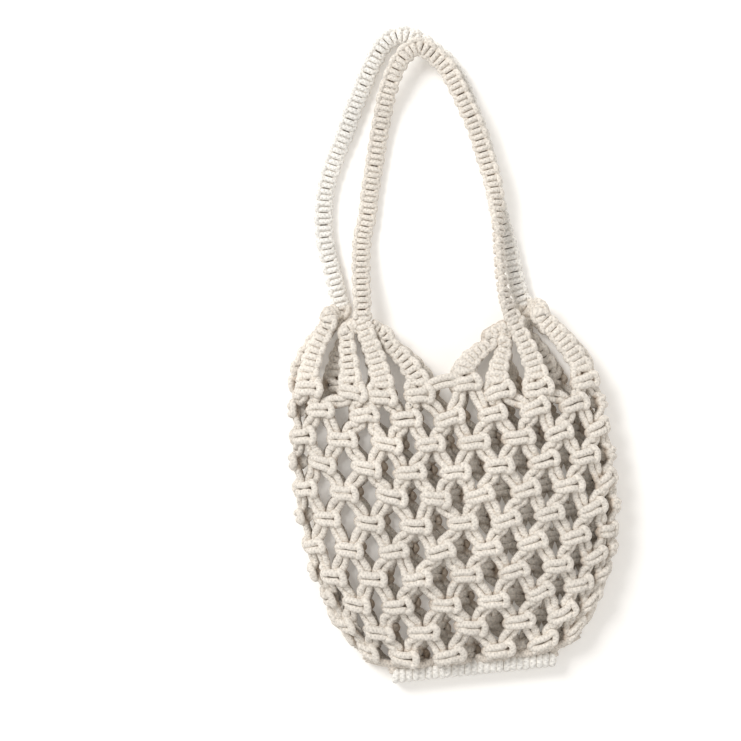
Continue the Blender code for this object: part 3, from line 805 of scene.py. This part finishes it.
def handle_route(table):
    """The rows of a table times their scale: places of a handle's middle, its turn and its width."""
    scale = (HANDLE_SPAN, HANDLE_RISE, STRAP_THICKNESS, np.pi / 180.0)
    route = smooth_route(np.column_stack([table * scale, np.ones(len(table))]), 6)
    route[:, :3] += bag_shift
    return route


# %% Knots along a route
def knot_chain(cords, route, across, pitch_out, thick, radius):
    """Knots along a route of places, turns and widths. A point of a knot is the place at its length along
    the route, plus x times the side there, plus z times the outward direction."""
    run = np.concatenate([[0.0], np.cumsum(np.linalg.norm(np.diff(route[:, :3], axis=0), axis=-1))])
    knots = max(int(np.ceil(run[-1] / (CHAIN_PITCH * pitch_out) - 0.25)), 1)
    unit_length = run[-1] / (CHAIN_PITCH * knots)
    tangent = unit(np.gradient(route[:, :3], run, axis=0))
    flat_side = unit(np.cross([0.0, 0.0, 1.0], tangent))
    flat_out = np.cross(tangent, flat_side)
    cosine, sine = np.cos(route[:, 3:4]), np.sin(route[:, 3:4])
    outward = flat_out * cosine + flat_side * sine
    side = flat_side * cosine - flat_out * sine
    for table in (CHAIN_WORKING, CHAIN_WRAPPING):
        down = CHAIN_PITCH * (np.arange(knots)[:, None] + 0.5)
        points = np.tile(table, (knots, 1, 1))
        points[..., 1] += down
        wobble = random.normal(0.0, 0.05, (knots, 1, 3)) * (1.0, 0.6, 0.5)
        points = (points + wobble).reshape(1, -1, 3)
        before, after = points[:, :1] * (1, 1, 1), points[:, -1:] * (1, 1, 1)
        before[..., 1] -= 0.4
        after[..., 1] += 0.4
        lines = smooth_lines(np.concatenate([before, points, after], axis=1), 3)
        width = np.interp(lines[..., 1] * unit_length, run, route[:, 4])
        scaled = np.stack([lines[..., 0] * across * width, lines[..., 1] * unit_length,
                           lines[..., 2] * thick], axis=-1)
        rings = tubes(scaled, radius, STRAP_SIDES)
        # Painted crease shade falls only between the bars, not along the outer edges
        from_crease = np.maximum(np.abs(rings[..., 2]) / thick, np.abs(rings[..., 0]) / (1.6 * across))
        depth = np.clip(0.10 + 0.60 * from_crease, 0.0, 1.0)
        along = np.clip(rings[..., 1], 0.0, run[-1])
        over = (rings[..., 1] - along)[..., None]
        place = np.stack([np.interp(along, run, route[:, axis]) for axis in range(3)], axis=-1)
        vectors = []
        for source in (side, outward, tangent):
            parts = [np.interp(along, run, source[:, axis]) for axis in range(3)]
            vectors.append(np.stack(parts, axis=-1))
        place = place + vectors[0] * rings[..., 0:1] + vectors[1] * rings[..., 2:3] + vectors[2] * over
        # This frame is left-handed too
        cords.add(place[:, :, ::-1], depth[:, :, ::-1])


# %% [markdown]
# ## The two handles
# Both are the same column of tight knots, about half a metre long. The front one turns on its edge at its
# right end, as in the photograph. Its cords are drawn closer than in the sinnets, so it is narrower.

# %% The two handles
HANDLE_ACROSS = 0.55 * CORD
HANDLE_PITCH = 0.88 * CORD
HANDLE_THICK = 0.50 * CORD
HANDLE_RADIUS = 0.41 * CORD
handle_routes = {"front": handle_route(HANDLE_FRONT), "back": handle_route(HANDLE_BACK)}
for layer, route in handle_routes.items():
    cords = CordMesh()
    knot_chain(cords, route, HANDLE_ACROSS, HANDLE_PITCH, HANDLE_THICK, HANDLE_RADIUS)
    # Painted light and shade: the back handle lies in the light and gets the paler cotton, the front one in
    # shade the darker
    material = plain_cotton if layer == "front" else pale_cotton
    piece(f"handle_{layer}_cords", cords, material, [f"handle_{layer}"])
    print(f"handle_{layer}: {np.linalg.norm(np.diff(route[:, :3], axis=0), axis=1).sum():.3f} m long")

# %% [markdown]
# ## The sixteen sinnets
# Four sinnets fan out from each end of a handle to the rim. One of the four carries the handle on, and the
# other three run in under its end. Each could be drawn by hand. Here both ends are known, from the table
# and from the knot of the rim, so a short curve between them does.

# %% The route of a sinnet
SINNET_ACROSS = 0.68 * CORD
SINNET_THICK = 0.46 * CORD
SINNET_RADIUS = 0.48 * CORD
TUCK_DEPTH = 0.006         # how far below a handle's end the sinnets beside it are gathered
TUCK_SHARE = 0.8
FOOT_UP = 1.25 * CORD      # the lowest knot of a sinnet starts this far above the middle of its rim knot


def sinnet_route(layer, index):
    """From the upper end of a sinnet to its rim knot. Its middle is the mean of both ends, moved to the
    lower one's side by a tenth, and it turns with the slope of the net at the rim."""
    value = dict(zip(SINNET_COLUMNS, SINNET_HEADS[index]))
    height = value["height"] if layer == "front" else BACK_HEAD_HEIGHT
    head = np.array([value["across"], value["up"], height]) * (HANDLE_SPAN, HANDLE_RISE, SINNET_THICKNESS)
    head += bag_shift
    down = np.array([0.0, -1.0, 0.0])
    head_turn = 0.0
    end = CARRIERS.get((layer, index + 1))
    if end is not None:
        route = handle_routes[layer]
        last_place = route[end]
        down = unit(last_place[:3] - route[1 if end == 0 else -2][:3])
        head = last_place[:3] - 0.5 * CORD * down
        head_turn = last_place[3]
    number = index if layer == "front" else COLUMNS - 1 - index
    column, row = knot_column[number], knot_row[number]
    spot = np.array([column]), np.array([row])
    middle = net_place(*spot, np.zeros(1))[0]
    outward = read_grid(outward_grid, *spot)[0]
    up = -unit(read_grid(down_grid, *spot)[0])
    across_here = unit(read_grid(across_grid, *spot)[0])
    foot = middle + FOOT_UP * up
    slope = np.arctan2(across_here[2], np.hypot(across_here[0], across_here[1]))
    foot_turn = -slope if layer == "front" else slope
    straight = 0.006
    upper, lower = head + straight * down, foot + straight * up
    tuck = []
    if end is None:
        # The other sinnets run in under the nearest end of a handle, where they are gathered
        ends = np.array([route[number] for route in handle_routes.values() for number in (0, -1)])
        near = ends[np.argmin(np.linalg.norm(ends[:, :2] - head[:2], axis=1)), :3]
        under = TUCK_DEPTH if layer == "front" else -TUCK_DEPTH
        tuck = [[*(head + TUCK_SHARE * (near - head) - (0.0, 0.0, under)), head_turn, value["width"]]]
    centre = 0.5 * (upper + lower)
    centre[0] += 0.10 * (lower[0] - upper[0])
    width = value["width"]
    table = np.array(tuck + [[*head, head_turn, width], [*upper, head_turn, width],
                      [*centre, 0.5 * (head_turn + foot_turn), 0.5 + 0.5 * width],
                      [*lower, foot_turn, 1.0], [*foot, foot_turn, 1.0]])
    return smooth_route(table, 6)


# %% All sixteen
for layer in ("front", "back"):
    for index in range(len(SINNET_HEADS)):
        cords = CordMesh()
        knot_chain(cords, sinnet_route(layer, index), SINNET_ACROSS, CORD, SINNET_THICK, SINNET_RADIUS)
        node = f"sinnet_{layer}_{index + 1}"
        piece(f"{node}_cords", cords, plain_cotton, [node])

# %% [markdown]
# ## The floor
# The bag lies on matt white paper. It is one large square, so that no edge shows. It glows faintly, which
# keeps its open parts white at this exposure and leaves the soft shadow at the bag.

# %% Matt white paper, rolled smooth
FLOOR_HALF = 4.0
floor_mesh = bpy.data.meshes.new("floor")
floor_corners = [(x * FLOOR_HALF, y * FLOOR_HALF, 0.0) for x, y in ((-1, -1), (1, -1), (1, 1), (-1, 1))]
floor_mesh.from_pydata(floor_corners, [], [(0, 1, 2, 3)])
floor = bpy.data.objects.new("floor", floor_mesh)
bpy.context.scene.collection.objects.link(floor)
paper = bpy.data.materials.new("matt white paper, rolled smooth")
paper.use_nodes = True
paper_shader = paper.node_tree.nodes["Principled BSDF"]
for socket, value in (("Base Color", linear("#f7f5f2")), ("Roughness", 1.0), ("Specular IOR Level", 0.0),
                      ("Emission Color", linear("#f8f4ee")), ("Emission Strength", 0.16)):
    paper_shader.inputs[socket].default_value = value
floor_mesh.materials.append(paper)
print("floor in metres:", 2.0 * FLOOR_HALF)

# %% [markdown]
# ## Light
# The photograph has a large soft light from the upper left and a pale room around. An area light makes the
# soft shadows between the cords, a weak second one lifts the right side, and the world stands for the room.


# %% Lights and world
def soft_light(name, place, size, power):
    """A square area light that looks at the middle of the bag. It tips by the arctangent of the flat
    distance over the height, and turns by the arctangent of -x over y."""
    light = bpy.data.objects.new(name, bpy.data.lights.new(name, "AREA"))
    light.data.size = size
    light.data.energy = power
    light.location = place
    towards = -np.array(place)
    flat = np.hypot(towards[0], towards[1])
    light.rotation_euler = (np.arctan2(flat, -towards[2]), 0.0, np.arctan2(-towards[0], towards[1]))
    bpy.context.scene.collection.objects.link(light)


soft_light("key", (-1.3, 1.3, 1.9), 1.0, 44.0)
soft_light("fill", (1.6, -0.6, 1.8), 2.0, 6.0)
# The sky is a little warm and bright enough to open the shadows
world = bpy.data.worlds.new("studio")
world.use_nodes = True
world.node_tree.nodes["Background"].inputs["Color"].default_value = (1.0, 0.99, 0.975, 1.0)
world.node_tree.nodes["Background"].inputs["Strength"].default_value = 0.66
bpy.context.scene.world = world
bpy.context.scene.view_settings.view_transform = "Standard"
bpy.context.scene.view_settings.look = "None"
